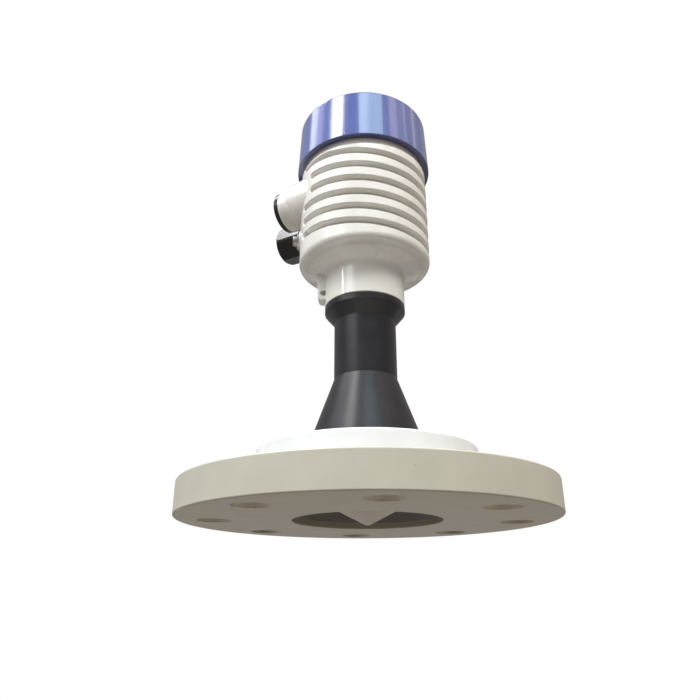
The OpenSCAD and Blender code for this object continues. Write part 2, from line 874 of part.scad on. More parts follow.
module gland_washer() {
    color("#141414")
    at_entry(1, stub_reach) ring(gland_af / 2, thread_r + screw_gap, 0, gland_washer_t);
}

module gland_body() {
    corner_r = gland_af * 0.59;
    hex_edge = 0.7;
    bore_room = 0.8;
    color("#1d1d1f")
    at_entry(1, gland_z0)
        difference() {
            union() {
                intersection() {
                    hexagon(gland_af, gland_hex_h);
                    cylinder(r1 = corner_r - hex_edge, r2 = corner_r, h = gland_hex_h);
                }
                translate([0, 0, -gland_washer_t - entry_thread_h])
                    cylinder(r = thread_r, h = gland_washer_t + entry_thread_h + over);
                translate([0, 0, gland_hex_h - over])
                    cylinder(r = nut_thread_r, h = gland_stem_h + over);
            }
            translate([0, 0, -entry_thread_h - 2 * over])
                cylinder(r = cable_d / 2 + bore_room,
                         h = entry_thread_h + gland_hex_h + gland_stem_h + 3 * over);
            translate([0, 0, insert_z0])
                cylinder(r = insert_r + screw_gap, h = gland_stem_h + over);
        }
}

module gland_insert() {
    color("#3a3a3c")
    at_entry(1, gland_z0) ring(insert_r, cable_d / 2, insert_z0, insert_z1 - insert_z0);
}

// Nut with a rounded nose, its six flats running out into the nose
module gland_nut() {
    corner_r = gland_af / sqrt(3);
    wide_r = corner_r - 0.5;
    mouth = cable_d / 2 + 1.2;
    color("#1d1d1f")
    at_entry(1, gland_z0)
        difference() {
            intersection() {
                translate([0, 0, gland_nut_z0]) rotate([0, 0, gland_nut_turn])
                    hexagon(gland_af, gland_nut_h);
                translate([0, 0, gland_nut_z0])
                    rotate_extrude()
                        difference() {
                            square([wide_r, gland_nut_h]);
                            corner_loss(wide_r, gland_nut_h, gland_nose_r, -1, -1);
                            corner_loss(wide_r, 0, 0.8, -1, 1);
                        }
            }
            translate([0, 0, gland_nut_z0 - over])
                cylinder(r = nut_thread_r + screw_gap, h = insert_z1 - gland_nut_z0 + over);
            translate([0, 0, gland_nut_z0]) cylinder(r = mouth, h = gland_nut_h + over);
        }
}

// ---------------------------------------------------------------- inside

module electronics_can() {
    can_edge = 1;
    color("#4d5a68")
    difference() {
        rotate_extrude()
            difference() {
                translate([0, floor_z]) square([can_r, can_h]);
                corner_loss(can_r, can_top, can_edge, -1, -1);
            }
        for (s = [-1, 1])
            translate([0, s * can_screw_circle, floor_z - over])
                cylinder(r = can_screw_d / 2 + fit_gap, h = can_h + 2 * over);
        for (a = leg_angles)
            rotate([0, 0, a]) translate([leg_circle, 0, can_top - leg_sink])
                cylinder(r = leg_r + screw_gap, h = leg_sink + over);
    }
}

module can_screws() {
    color("#b9bcc0")
    for (s = [-1, 1])
        translate([0, s * can_screw_circle, can_top])
            socket_screw(can_screw_d, can_head_d, can_screw_d, can_h + can_screw_grip);
}

leg_angles = [60, 180, 300];
leg_circle = cavity_r - 4.5;
leg_r = 2.4;
leg_sink = 4;
terminal_x = 9;
terminal_screw_x = 2;
terminal_screw_h = 5;
terminal_wall = 1.5;
terminal_hole_h = terminal_screw_h + 1;

module terminal_places() {
    for (i = [0 : terminal_count - 1])
        translate([terminal_x, (i - (terminal_count - 1) / 2) * terminal_pitch, can_top])
            children();
}

module terminal_block() {
    width = terminal_count * terminal_pitch;
    color("#5f8f5a")
    difference() {
        translate([terminal_x - terminal_l / 2, -width / 2, can_top])
            cube([terminal_l, width, terminal_h]);
        terminal_places() {
            translate([terminal_screw_x, 0, terminal_h - terminal_hole_h])
                cylinder(r = terminal_screw_d / 2 + screw_gap, h = terminal_hole_h + over);
            translate([-terminal_l / 2 - over, terminal_wall - terminal_pitch / 2,
                       terminal_wall])
                cube([terminal_l / 2 + over + terminal_screw_x,
                      terminal_pitch - 2 * terminal_wall, terminal_wire_h]);
        }
    }
}

module terminal_screws() {
    color("#c8cacc")
    terminal_places()
        translate([terminal_screw_x, 0, terminal_h - terminal_hole_h])
            difference() {
                cylinder(d = terminal_screw_d, h = terminal_screw_h);
                translate([-terminal_screw_d, -terminal_screw_d / 10, terminal_screw_h - 1])
                    cube([2 * terminal_screw_d, terminal_screw_d / 5, 1 + over]);
            }
}

module display_carrier() {
    carrier_t = 3;
    carrier_bore_r = 22;
    carrier_step = 0.5;
    hook_w = 8;
    hook_t = 1.6;
    hook_lip = 1.2;
    hook_play = 0.1;
    color("#26272a") {
        ring(can_r - carrier_step, carrier_bore_r, seat_z - carrier_t, carrier_t);
        for (a = leg_angles)
            rotate([0, 0, a]) translate([leg_circle, 0, can_top - leg_sink])
                cylinder(r = leg_r, h = seat_z - can_top + leg_sink - carrier_t / 2);
        // two snap hooks hold the display down
        for (s = [-1, 1])
            rotate([0, 0, s * 90]) {
                translate([display_r + fit_gap, -hook_w / 2, seat_z - over])
                    cube([hook_t, hook_w, display_h + hook_t + over]);
                translate([display_r - hook_lip, -hook_w / 2, face_z + hook_play])
                    cube([hook_lip + fit_gap + over / 4, hook_w, hook_t - hook_play]);
            }
    }
}

module key_places() {
    for (i = [-1 : 1]) translate([key_row_x, i * key_pitch, 0]) children();
}

module display() {
    bezel = 0.8;
    color("#303236")
    difference() {
        rotate_extrude()
            difference() {
                translate([0, seat_z]) square([display_r, display_h]);
                corner_loss(display_r, face_z, 0.8, -1, -1);
            }
        translate([screen_x - screen_l / 2 - fit_gap, -screen_w / 2 - fit_gap, face_z - bezel - 1.2])
            cube([screen_l + 2 * fit_gap, screen_w + 2 * fit_gap, 4]);
        key_places() {
            translate([0, 0, face_z - 2]) cylinder(r = key_d / 2 + key_gap, h = 4);
            translate([0, 0, face_z - 6]) cylinder(r = key_d / 2 + key_gap + 1, h = 4.5);
        }
    }
}

module screen() {
    color("#9fb39a")
    translate([screen_x - screen_l / 2, -screen_w / 2, face_z - 2])
        cube([screen_l, screen_w, 1.2]);
}

// A sprung key: its collar stays under the display's face
module key(place) {
    travel = 1;
    color("#8b9098")
    translate([key_row_x, place * key_pitch, 0])
        rotate_extrude()
            difference() {
                union() {
                    translate([0, face_z - 4]) square([key_d / 2, 4 + key_rise]);
                    translate([0, face_z - 1.8 - travel]) square([key_d / 2 + 0.8, 1]);
                }
                corner_loss(key_d / 2, face_z + key_rise, 0.5, -1, -1);
            }
}

module key_minus() { key(1); }
module key_plus() { key(0); }
module key_enter() { key(-1); }

// ---------------------------------------------------------------- cover

cover_seal_r = 1;
cover_seal_z = cover_z0 + 3.6;
cover_seal_centre = cover_thread_r + 0.2 + cover_seal_r;

module cover() {
    taper = atan((cover_r - cover_top_r) / cover_h);
    color("#5b69c4")
    rotate_extrude()
        difference() {
            union() {
                polygon([[0, cover_z0], [cover_r, cover_z0],
                         [cover_top_r + cover_edge * tan(taper), cover_z1 - cover_edge],
                         [0, cover_z1 - cover_edge]]);
                translate([0, cover_z0]) square([cover_top_r - cover_edge, cover_h]);
                translate([cover_top_r - cover_edge, cover_z1 - cover_edge])
                    circle(cover_edge, $fn = 64);
            }
            translate([0, -over]) square([cover_bore_r, window_z + over]);
            square([window_bore_r, cover_z1 - cover_lip]);
            square([window_open_r, cover_z1 + over]);
            translate([0, cover_seal_z - cover_seal_r - 0.15])
                square([cover_seal_centre + cover_seal_r + 0.15, 2 * cover_seal_r + 0.3]);
            corner_loss(cover_r, cover_z0, 0.6, -1, 1);
            corner_loss(window_open_r, cover_z1, 1, 1, -1);
        }
}

module cover_seal() {
    color("#1c1c1c") o_ring(cover_seal_centre, cover_seal_r, cover_seal_z);
}

module window() {
    color("#cfe0e4") post(window_r, window_z, window_t);
}

module window_gasket() {
    color("#1c1c1c") ring(window_r - 0.5, window_open_r + 1, gasket_z, gasket_t);
}

// Threaded ring with two spanner slots
module window_ring() {
    color("#a4a8ac")
    difference() {
        ring(cover_bore_r - screw_gap, window_open_r, window_z - window_ring_t, window_ring_t);
        for (s = [-1, 1])
            translate([s * (window_open_r + 3) - 1.5, -1.5, window_z - window_ring_t - over])
                cube([3, 3, 2 + over]);
    }
}

flange();
clamp_disc();
disc_screws();
horn();
foot_seal();
lens();
lens_seal();
waveguide();
radar_unit();
neck_seal();
neck_circlip();
housing();
lock_screw();
earth_clamp();
earth_screw();
blind_plug();
plug_seal();
gland_washer();
gland_body();
gland_insert();
gland_nut();
electronics_can();
can_screws();
terminal_block();
terminal_screws();
display_carrier();
display();
screen();
key_minus();
key_plus();
key_enter();
cover();
cover_seal();
window();
window_gasket();
window_ring();
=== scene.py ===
"""Looks of a radar level transmitter: its finishes, threads and signs, and the studio."""

import math

import bmesh
import bpy
from bpy.props import FloatProperty, FloatVectorProperty, PointerProperty
from bpy.types import Operator, Panel, PropertyGroup
from mathutils import Matrix, Vector


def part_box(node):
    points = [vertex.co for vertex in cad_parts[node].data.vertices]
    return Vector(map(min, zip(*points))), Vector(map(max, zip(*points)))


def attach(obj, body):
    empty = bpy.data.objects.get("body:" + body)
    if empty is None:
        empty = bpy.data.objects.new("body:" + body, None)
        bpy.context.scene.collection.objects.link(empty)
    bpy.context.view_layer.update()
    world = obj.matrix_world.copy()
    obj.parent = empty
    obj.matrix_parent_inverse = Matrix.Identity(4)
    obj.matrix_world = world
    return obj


bl_info = {
    "name": "Radar level transmitter looks",
    "version": (1, 0, 0),
    "blender": (4, 5, 0),
    "location": "3D View > Sidebar > Transmitter",
    "description": "Finishes, threads, key signs and studio for a radar level transmitter",
    "category": "Object",
}

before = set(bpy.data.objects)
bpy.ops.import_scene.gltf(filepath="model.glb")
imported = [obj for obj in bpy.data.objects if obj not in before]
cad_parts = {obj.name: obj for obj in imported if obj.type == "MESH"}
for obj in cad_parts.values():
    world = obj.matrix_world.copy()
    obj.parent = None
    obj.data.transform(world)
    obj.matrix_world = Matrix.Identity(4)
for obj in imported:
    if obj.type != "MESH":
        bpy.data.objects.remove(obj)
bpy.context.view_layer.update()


# ------------------------------------------------------------------ sizes from the frame


def low(node):
    """The lowest corner of a node's box."""
    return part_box(node)[0]


def high(node):
    """The highest corner of a node's box."""
    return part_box(node)[1]


COVER_BASE = low("cover").z
COVER_TOP = high("cover").z
HOUSING_RIM = high("housing").z
ENTRY_Z = (low("gland_nut").z + high("gland_nut").z) / 2
ENTRY_Y = (low("gland_nut").y + high("gland_nut").y) / 2
FLANGE_TOP = high("flange").z
MOUTH = high("lens").x

# Radii, depths and counts of the CAD that the boxes don't tell, in metres
BOLT_CIRCLE = 0.080
BOLT_HOLE = 0.009
BOLTS = 8
BOLT_PHASE = math.radians(33.2)
STUB_FACE = 0.0465
ENTRY_BORE = 0.010
ENTRY_FLOOR = 0.025
NECK_BORE = 0.018
GROOVE_FLOOR = 0.0355
HOUSING_THREAD = 0.0387
COVER_THREAD = 0.0391
COVER_ROOF = 0.0035
THREAD_START = 0.0048
THREAD_LOSS = 0.0065
TERMINALS = 6
PAINT_EDGE = 0.0010
MOUTH_DUST_TOP = 0.0175

# Colours inside the finishes
BARE_METAL = (0.60, 0.60, 0.61)
# painted shade: the cover's blue paint darkened for its shaded lower face
COVER_UNDERSIDE_SHADE = (0.045, 0.060, 0.17)
# painted shade with dust: darker paint at the groove floors
GROOVE_DUST_AND_SHADE = (0.30, 0.27, 0.22)
MOUTH_DUST = (0.21, 0.195, 0.20)
# painted shade: darker flange colour for the walls of the bolt holes
HOLE_WALL_SHADE = (0.34, 0.30, 0.235)
# painted shade: darker flange colour for the wall of the flange's bore
BORE_WALL_SHADE = (0.36, 0.355, 0.29)
SPECKS = (0.22, 0.20, 0.16)

# What the new pieces share, and what the screen shows
SMOOTH_ANGLE = math.radians(35)
THREAD_STEPS = 48
SIGN_THICKNESS = 0.0001
LEVEL_DIGITS = "3482"
GRAPH_BARS = 14
GRAPH_FILLED = 9


# ------------------------------------------------------------------ sizes a user would change


class PaintColours(PropertyGroup):
    """Colours of the painted and moulded parts."""

    cover: FloatVectorProperty(
        name="Cover", description="Gloss paint of the screw cover",
        default=(0.098, 0.132, 0.373), size=3, subtype="COLOR", min=0, max=1)
    housing: FloatVectorProperty(
        name="Housing", description="Powder paint of the cast housing",
        default=(0.82, 0.80, 0.765), size=3, subtype="COLOR", min=0, max=1)
    flange: FloatVectorProperty(
        name="Flange", description="Moulded plastic of the flange",
        default=(0.640, 0.620, 0.530), size=3, subtype="COLOR", min=0, max=1)
    horn: FloatVectorProperty(
        name="Horn", description="Moulded plastic of the horn",
        default=(0.0145, 0.0142, 0.0180), size=3, subtype="COLOR", min=0, max=1)
    disc: FloatVectorProperty(
        name="Disc", description="White plastic of the clamping disc",
        default=(0.838, 0.853, 0.882), size=3, subtype="COLOR", min=0, max=1)
    lens: FloatVectorProperty(
        name="Lens", description="White fluoroplastic of the lens",
        default=(0.97, 0.975, 0.98), size=3, subtype="COLOR", min=0, max=1)


class ThreadSizes(PropertyGroup):
    """Sizes of the screw threads that are modelled as ridges."""

    cover_pitch: FloatProperty(
        name="Cover pitch", description="Rise of the cover's thread in one turn",
        default=0.002, min=0.001, max=0.003, unit="LENGTH", precision=4)
    ridge: FloatProperty(
        name="Ridge", description="Height of a thread ridge over the plain shaft",
        default=0.0002, min=0.0001, max=0.0005, unit="LENGTH", precision=5)


class SignSizes(PropertyGroup):
    """Sizes of the signs on the keys, the screen and the terminals."""

    key_sign: FloatProperty(
        name="Key sign", description="Length of a bar of the minus, plus and enter signs",
        default=0.0042, min=0.002, max=0.006, unit="LENGTH", precision=4)
    digit_height: FloatProperty(
        name="Digit", description="Height of the large digits on the screen",
        default=0.0085, min=0.004, max=0.010, unit="LENGTH", precision=4)
    terminal_digit: FloatProperty(
        name="Terminal digit", description="Height of the numbers on the terminal block",
        default=0.0022, min=0.001, max=0.003, unit="LENGTH", precision=4)


class StudioSizes(PropertyGroup):
    """Camera, floor and lamps."""

    camera_place: FloatVectorProperty(
        name="Camera", description="Where the camera stands",
        default=(0.1590, -0.2991, -0.0386), size=3, subtype="XYZ", unit="LENGTH")
    heading: FloatProperty(
        name="Heading", description="Direction that the camera looks in, from +X",
        default=math.radians(119.52), subtype="ANGLE")
    pitch: FloatProperty(
        name="Pitch", description="How far the camera looks up",
        default=math.radians(21.91), subtype="ANGLE")
    roll: FloatProperty(
        name="Roll", description="How far the camera leans",
        default=math.radians(0.124), subtype="ANGLE")
    lens: FloatProperty(
        name="Lens", description="Focal length on a 36 mm sensor, in millimetres",
        default=31.95, min=10, max=200, unit="CAMERA")
    floor_drop: FloatProperty(
        name="Floor", description="How far the floor lies under the flange",
        default=0.45, min=0.1, max=2, unit="LENGTH")
    lamp_level: FloatProperty(
        name="Lamps", description="Factor on the brightness of all lamps", default=1.0, min=0)
    room_light: FloatProperty(
        name="Room light", description="Strength of the even light of the room",
        default=0.30, min=0, max=2)
    room_gloss: FloatProperty(
        name="Room in gloss", description="How bright glossy parts see the room between lamps",
        default=0.35, min=0, max=2)


# ------------------------------------------------------------------ materials as expressions


class Value:
    """A socket in a material that can be used in sums like a number."""

    def __init__(self, finish, socket):
        self.finish = finish
        self.socket = socket

    def maths(self, operation, *values):
        """Adds one Math node and gives back its result."""
        return self.finish.node("ShaderNodeMath", {"operation": operation},
                                **{str(i): v for i, v in enumerate(values)})

    def __add__(self, other):
        return self.maths("ADD", self, other)

    __radd__ = __add__

    def __sub__(self, other):
        return self.maths("SUBTRACT", self, other)

    def __rsub__(self, other):
        return self.maths("SUBTRACT", other, self)

    def __mul__(self, other):
        return self.maths("MULTIPLY", self, other)

    __rmul__ = __mul__

    def __truediv__(self, other):
        return self.maths("DIVIDE", self, other)

    def __rtruediv__(self, other):
        return self.maths("DIVIDE", other, self)

    def __neg__(self):
        return self.maths("MULTIPLY", self, -1.0)

    def __abs__(self):
        return self.maths("ABSOLUTE", self)

    def sine(self):
        return self.maths("SINE", self)

    def root(self):
        return self.maths("SQRT", self)

    def angle_to(self, x):
        """The angle from +X of a point whose y is this value."""
        return self.maths("ARCTAN2", self, x)

    def fraction(self):
        return self.maths("FRACT", self)

    def at_least(self, other):
        return self.maths("MAXIMUM", self, other)

    def step(self, start, end):
        """0 below start and 1 above end, smooth between; start may be above end."""
        return self.finish.node("ShaderNodeMapRange", {"interpolation_type": "SMOOTHSTEP"},
                                Value=self, **{"From Min": start, "From Max": end})


class Finish:
    """A node material under construction. Its place is a point of the piece, in metres."""

    def __init__(self, name):
        self.material = bpy.data.materials.new(name)
        self.material.use_nodes = True
        self.tree = self.material.node_tree
        self.tree.nodes.clear()
        self.shader = self.tree.nodes.new("ShaderNodeBsdfPrincipled")
        self.output = self.tree.nodes.new("ShaderNodeOutputMaterial")
        self.tree.links.new(self.shader.outputs[0], self.output.inputs[0])
        coordinates = self.tree.nodes.new("ShaderNodeTexCoord")
        self.place = Value(self, coordinates.outputs["Object"])
        parts = self.tree.nodes.new("ShaderNodeSeparateXYZ")
        self.tree.links.new(self.place.socket, parts.inputs[0])
        self.x, self.y, self.z = (Value(self, parts.outputs[i]) for i in range(3))

    def node(self, kind, settings=None, out=0, **values):
        """Adds a node, sets its settings, then its sockets, and gives back one output."""
        made = self.tree.nodes.new(kind)
        for key, setting in (settings or {}).items():
            setattr(made, key, setting)
        for key, value in values.items():
            self.feed(made.inputs[int(key) if key.isdigit() else key], value)
        return Value(self, made.outputs[out])

    def feed(self, socket, value):
        """Links a value to a socket, or sets the socket to a number or colour."""
        if isinstance(value, Value):
            self.tree.links.new(value.socket, socket)
        elif socket.type == "RGBA" and len(value) == 3:
            socket.default_value = (*value, 1)
        else:
            socket.default_value = value

    def set(self, **sockets):
        """Sets or links the main shader's sockets, whose spaces are written as underscores."""
        for key, value in sockets.items():
            self.feed(self.shader.inputs[key.replace("_", " ")], value)
        return self

    def mix(self, share, first, second):
        """A colour between first and second."""
        return self.node("ShaderNodeMix", {"data_type": "RGBA"}, 2,
                         **{"0": share, "6": first, "7": second})

    def scaled(self, sx, sy, sz):
        """The place, scaled along each axis."""
        return self.node("ShaderNodeVectorMath", {"operation": "MULTIPLY"},
                         **{"0": self.place, "1": (sx, sy, sz)})

    def noise(self, size, detail=2.0, rough=0.5, place=None):
        """Noise from 0 to 1 with features about as large as size, in metres."""
        return self.node("ShaderNodeTexNoise", None, 0, Vector=place or self.place,
                         Scale=1 / size, Detail=detail, Roughness=rough)

    def cells(self, size):
        """Distance to the nearest of many scattered points, about size apart."""
        return self.node("ShaderNodeTexVoronoi", None, 0, Vector=self.place, Scale=1 / size)

    def radius(self):
        """Distance from the horn's axis."""
        return (self.x * self.x + self.y * self.y).root()

    def show_white(self, share, gloss_share):
        """Lets the camera, glass and gloss see this much white in place of the finish."""
        path = self.tree.nodes.new("ShaderNodeLightPath")
        seen = Value(self, path.outputs["Is Camera Ray"]).at_least(
            Value(self, path.outputs["Is Transmission Ray"]))
        glossy = Value(self, path.outputs["Is Glossy Ray"])
        white = self.node("ShaderNodeEmission", None, 0, Color=(1, 1, 1), Strength=1.0)
        shown = (seen * share).at_least(glossy * gloss_share)
        mixed = self.node("ShaderNodeMixShader", None, 0, **{"0": shown, "2": white})
        self.tree.links.new(self.shader.outputs[0], mixed.socket.node.inputs[1])
        self.tree.links.new(mixed.socket, self.output.inputs[0])

    def bump(self, height, distance, strength=1.0):
        """A normal from a height of 0 to 1 that stands for distance, in metres."""
        return self.node("ShaderNodeBump", None, 0, Height=height, Distance=distance,
                         Strength=strength)


def powder_paint(name, colour, roughness, machined=None, dust_and_shade=None, painted_shade=None,
                 peel_depth=0.00003):
    """Paint on a casting: orange peel, faint unevenness, bare metal where it was machined.
    Three functions give masks of 0 to 1: machined metal, painted shade with dust in recesses, and
    painted shade on a face in shadow."""
    f = Finish(name)
    cloud = f.noise(0.03, 3)
    peel = f.noise(0.0011, 2)
    fine = f.noise(0.00035, 1)
    shade = tuple(c * 0.93 for c in colour)
    base = f.mix(cloud.step(0.35, 0.7), shade, colour)
    rough = roughness + (cloud - 0.5) * 0.06
    metal = 0.0
    # painted shade: a darker copy of the paint on a face in shadow
    if painted_shade is not None:
        base = f.mix(painted_shade(f), base, COVER_UNDERSIDE_SHADE)
    # painted shade in recesses, patchy, and the rougher surface of dust there
    if dust_and_shade is not None:
        mask = dust_and_shade(f) * (0.35 + 0.65 * f.noise(0.004, 4))
        base = f.mix(mask, base, GROOVE_DUST_AND_SHADE)
        rough = rough + mask * 0.2
    if machined is not None:
        metal = machined(f)
        base = f.mix(metal, base, BARE_METAL)
        rough = rough * (1 - metal) + metal * (0.26 + 0.1 * fine)
    f.set(Base_Color=base, Roughness=rough, Metallic=metal, IOR=1.5,
          Normal=f.bump(peel * 0.8 + fine * 0.2, peel_depth))
    return f


def housing_machined(f):
    """Thread zone under the cover, the two stubs' faces and bores, and the neck's bore."""
    thread_zone = f.z.step(COVER_BASE + PAINT_EDGE, COVER_BASE + PAINT_EDGE + 0.0002)
    stub_face = (-f.x).step(STUB_FACE - 0.00007, STUB_FACE - 0.00002)
    across, up = abs(f.y) - ENTRY_Y, f.z - ENTRY_Z
    from_entry = (across * across + up * up).root()
    bore = (from_entry.step(ENTRY_BORE + 0.00008, ENTRY_BORE + 0.00003)
            * (-f.x).step(ENTRY_FLOOR, ENTRY_FLOOR + 0.002))
    neck_bore = f.radius().step(NECK_BORE + 0.00012, NECK_BORE + 0.00008)
    return thread_zone.at_least(stub_face).at_least(bore).at_least(neck_bore)


def housing_grime(f):
    """Painted shade at the bottom of the grooves, with faint dust that makes them rougher."""
    r = f.radius()
    return (r.step(GROOVE_FLOOR + 0.002, GROOVE_FLOOR)
            * r.step(GROOVE_FLOOR - 0.002, GROOVE_FLOOR - 0.001) * 0.3)


def cover_machined(f):
    """Thread and seat inside the cover."""
    inside = f.radius().step(COVER_THREAD + 0.00005, COVER_THREAD)
    return inside * f.z.step(COVER_TOP - COVER_ROOF + 0.0001, COVER_TOP - COVER_ROOF - 0.0001)


def finish_housing(colours):
    """Off-white powder paint with a thin gloss coat, and painted shade with dust in its grooves.
    """
    f = powder_paint("housing_paint", tuple(colours.housing), 0.27, housing_machined,
                     housing_grime)
    f.set(Coat_Weight=0.65, Coat_Roughness=0.07, Coat_IOR=1.5)
    return f


def cover_primer(f):
    """Painted shade on the cover's lower face, which faces down into shadow: the blue paint
    darkened.
    """
    return f.z.step(COVER_BASE + 0.0002, COVER_BASE + 0.0001)


def finish_cover(colours):
    """Blue gloss paint with a deeper orange peel, and painted shade on its lower face."""
    f = powder_paint("cover_paint", tuple(colours.cover), 0.16, cover_machined,
                     painted_shade=cover_primer, peel_depth=0.00007)
    f.set(Coat_Weight=0.6, Coat_Roughness=0.07, Coat_IOR=1.5)
    return f


def tool_rings(distance, pitch):
    """Height from 0 to 1 of the rings that a lathe tool leaves, one each pitch."""
    return (distance * (math.tau / pitch)).sine() * 0.5 + 0.5


def finish_horn(colours):
    """Satin black plastic with faint lines from the mould and turning, dusty inside the mouth."""
    f = Finish("horn_plastic")
    rings = tool_rings(f.z, 0.0009)
    cloud = f.noise(0.012, 3)
    fine = f.noise(0.0004, 2)
    light = tuple(min(1.0, c * 1.25 + 0.002) for c in colours.horn)
    dust_top = FLANGE_TOP + MOUTH_DUST_TOP
    mouth = f.z.step(dust_top, dust_top - 0.001) * (0.75 + 0.25 * cloud)
    base = f.mix(cloud.step(0.4, 0.75), tuple(colours.horn), light)
    f.set(Base_Color=f.mix(mouth, base, MOUTH_DUST),
          Roughness=0.34 + (cloud - 0.5) * 0.05 + (fine - 0.5) * 0.08, IOR=1.45,
          Normal=f.bump(rings * 0.35 + fine * 0.65, 0.00003, 0.35))
    return f


def bolt_hole_walls(f):
    """1 on the walls of the flange's bolt holes and 0 elsewhere."""
    step = math.tau / BOLTS
    turn = f.y.angle_to(f.x) / step - (BOLT_PHASE / step) + 0.5
    off = ((turn.fraction() - 0.5) * step + math.pi / 2).sine()
    r = f.radius()
    reach = (r * r + BOLT_CIRCLE * BOLT_CIRCLE - r * off * (2 * BOLT_CIRCLE)).root()
    return reach.step(BOLT_HOLE + 0.00025, BOLT_HOLE + 0.0001)


def finish_flange(colours):
    """Matte beige plastic, faced on a lathe: fine rings on its flat faces. Painted shade darkens
    the walls of its bolt holes and its bore.
    """
    f = Finish("flange_plastic")
    r = f.radius()
    rings = tool_rings(r, 0.0011)
    cloud = f.noise(0.02, 4)
    fine = f.noise(0.0005, 2)
    shade = tuple(c * 0.95 for c in colours.flange)
    warm = (colours.flange[0] * 1.04, colours.flange[1], colours.flange[2] * 0.92)
    base = f.mix(cloud.step(0.35, 0.65), shade, tuple(colours.flange))
    base = f.mix(f.noise(0.05, 2).step(0.5, 0.8) * 0.3, base, warm)
    # painted shade on the wall of the flange's bore
    bore_wall_shade = r.step(MOUTH + 0.0045, MOUTH + 0.004) * f.z.step(0.0003, 0.0006)
    # painted shade on the walls of the bolt holes
    base = f.mix(bolt_hole_walls(f), base, HOLE_WALL_SHADE)
    base = f.mix(bore_wall_shade, base, BORE_WALL_SHADE)
    specks = f.cells(0.011).step(0.05, 0.035) * f.noise(0.03, 1).step(0.5, 0.6) * 0.4
    base = f.mix(specks, base, SPECKS)
    f.set(Base_Color=base, Roughness=0.37 + (fine - 0.5) * 0.12, IOR=1.5,
          Normal=f.bump(rings * 0.4 + fine * 0.6, 0.00004, 0.35))
    return f


def finish_fluoroplastic(name, colour):
    """Waxy white plastic with turning rings."""
    f = Finish(name)
    rings = tool_rings(f.radius() + f.z * 0.7, 0.0007)
    cloud = f.noise(0.015, 3)
    shade = tuple(c * 0.95 for c in colour)
    f.set(Base_Color=f.mix(cloud.step(0.3, 0.7), shade, colour),
          Roughness=0.38 + (cloud - 0.5) * 0.08, IOR=1.38, Subsurface_Weight=0.03,
          Subsurface_Scale=0.004, Subsurface_Radius=(1.0, 0.9, 0.8),
          Normal=f.bump(rings, 0.00002, 0.3))
    return f


def satin_plastic(name, colour, roughness, ior=1.5):
    """Moulded plastic with a spark-eroded grain."""
    f = Finish(name)
    cloud = f.noise(0.008, 3)
    fine = f.noise(0.0005, 3)
    light = tuple(min(1.0, c * 1.35 + 0.006) for c in colour)
    f.set(Base_Color=f.mix(cloud.step(0.4, 0.8), colour, light),
          Roughness=roughness + (fine - 0.5) * 0.18, IOR=ior,
          Normal=f.bump(fine, 0.00004, 0.4))
    return f


def rubber():
    """Black seal rubber with a faint bloom."""
    f = Finish("seal_rubber")
    fine = f.noise(0.0004, 3)
    bloom = f.noise(0.004, 3)
    f.set(Base_Color=f.mix(bloom.step(0.5, 0.85), (0.018, 0.018, 0.018), (0.045, 0.045, 0.043)),
          Roughness=0.66 + (fine - 0.5) * 0.2, IOR=1.5, Normal=f.bump(fine, 0.00005, 0.4))
    return f


def turned_steel(name="stainless", colour=(0.66, 0.665, 0.67), roughness=0.2):
    """Steel with fine tool marks."""
    f = Finish(name)
    marks = f.noise(0.0012, 4, 0.6, f.scaled(1, 1, 9))
    spots = f.noise(0.005, 3)
    f.set(Base_Color=f.mix(spots.step(0.4, 0.8), colour, tuple(c * 0.84 for c in colour)),
          Metallic=1.0, Roughness=roughness + marks * 0.14, Normal=f.bump(marks, 0.00003, 0.25))
    return f


def bare_aluminium():
    """The thread's cut metal, duller than the machined faces of the castings."""
    f = Finish("bare_aluminium")
    marks = f.noise(0.0015, 3)
    f.set(Base_Color=BARE_METAL, Metallic=1.0, Roughness=0.26 + marks * 0.14,
          Normal=f.bump(marks, 0.00002, 0.3))
    return f


def turned_brass():
    """Yellow brass of the waveguide, with the same tool marks as the steel."""
    f = Finish("guide_brass")
    marks = f.noise(0.0012, 4, 0.6, f.scaled(1, 1, 9))
    f.set(Base_Color=f.mix(marks, (0.70, 0.50, 0.20), (0.78, 0.60, 0.30)),
          Metallic=1.0, Roughness=0.22 + marks * 0.15, Normal=f.bump(marks, 0.00003, 0.25))
    return f


def window_glass():
    """Clear safety glass, with a faint smear in its polish."""
    f = Finish("window_glass")
    smear = f.noise(0.02, 3)
    f.set(Base_Color=(0.93, 0.975, 0.97), Roughness=0.01 + smear * 0.02, IOR=1.5,
          Transmission_Weight=1.0)
    return f


def screen_glass():
    """Reflective liquid crystal screen, with its fine dot grid."""
    f = Finish("screen_glass")
    dots = math.tau / 0.0005
    grid = ((f.x * dots).sine() * (f.y * dots).sine()) * 0.5 + 0.5
    base = f.mix(grid.step(0.6, 0.95), (0.40, 0.48, 0.36), (0.36, 0.435, 0.33))
    f.set(Base_Color=base, Roughness=0.16 + f.noise(0.01, 2) * 0.04, Coat_Weight=0.8,
          Coat_Roughness=0.04)
    return f


# ------------------------------------------------------------------ meshes

SEGMENTS = {"1": "bc", "2": "abged", "3": "abgcd", "4": "fgbc", "5": "afgcd", "6": "afgecd",
            "8": "abcdefg"}


def add_piece(name, bm, body, finish):
    """Makes an object of bm at the origin, smooth on its curves, and lets it ride on a body."""
    bmesh.ops.recalc_face_normals(bm, faces=bm.faces)
    mesh = bpy.data.meshes.new(name)
    bm.to_mesh(mesh)
    bm.free()
    for polygon in mesh.polygons:
        polygon.use_smooth = True
    mesh.set_sharp_from_angle(angle=SMOOTH_ANGLE)
    piece = bpy.data.objects.new(name, mesh)
    bpy.context.scene.collection.objects.link(piece)
    piece.data.materials.append(finish)
    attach(piece, body)


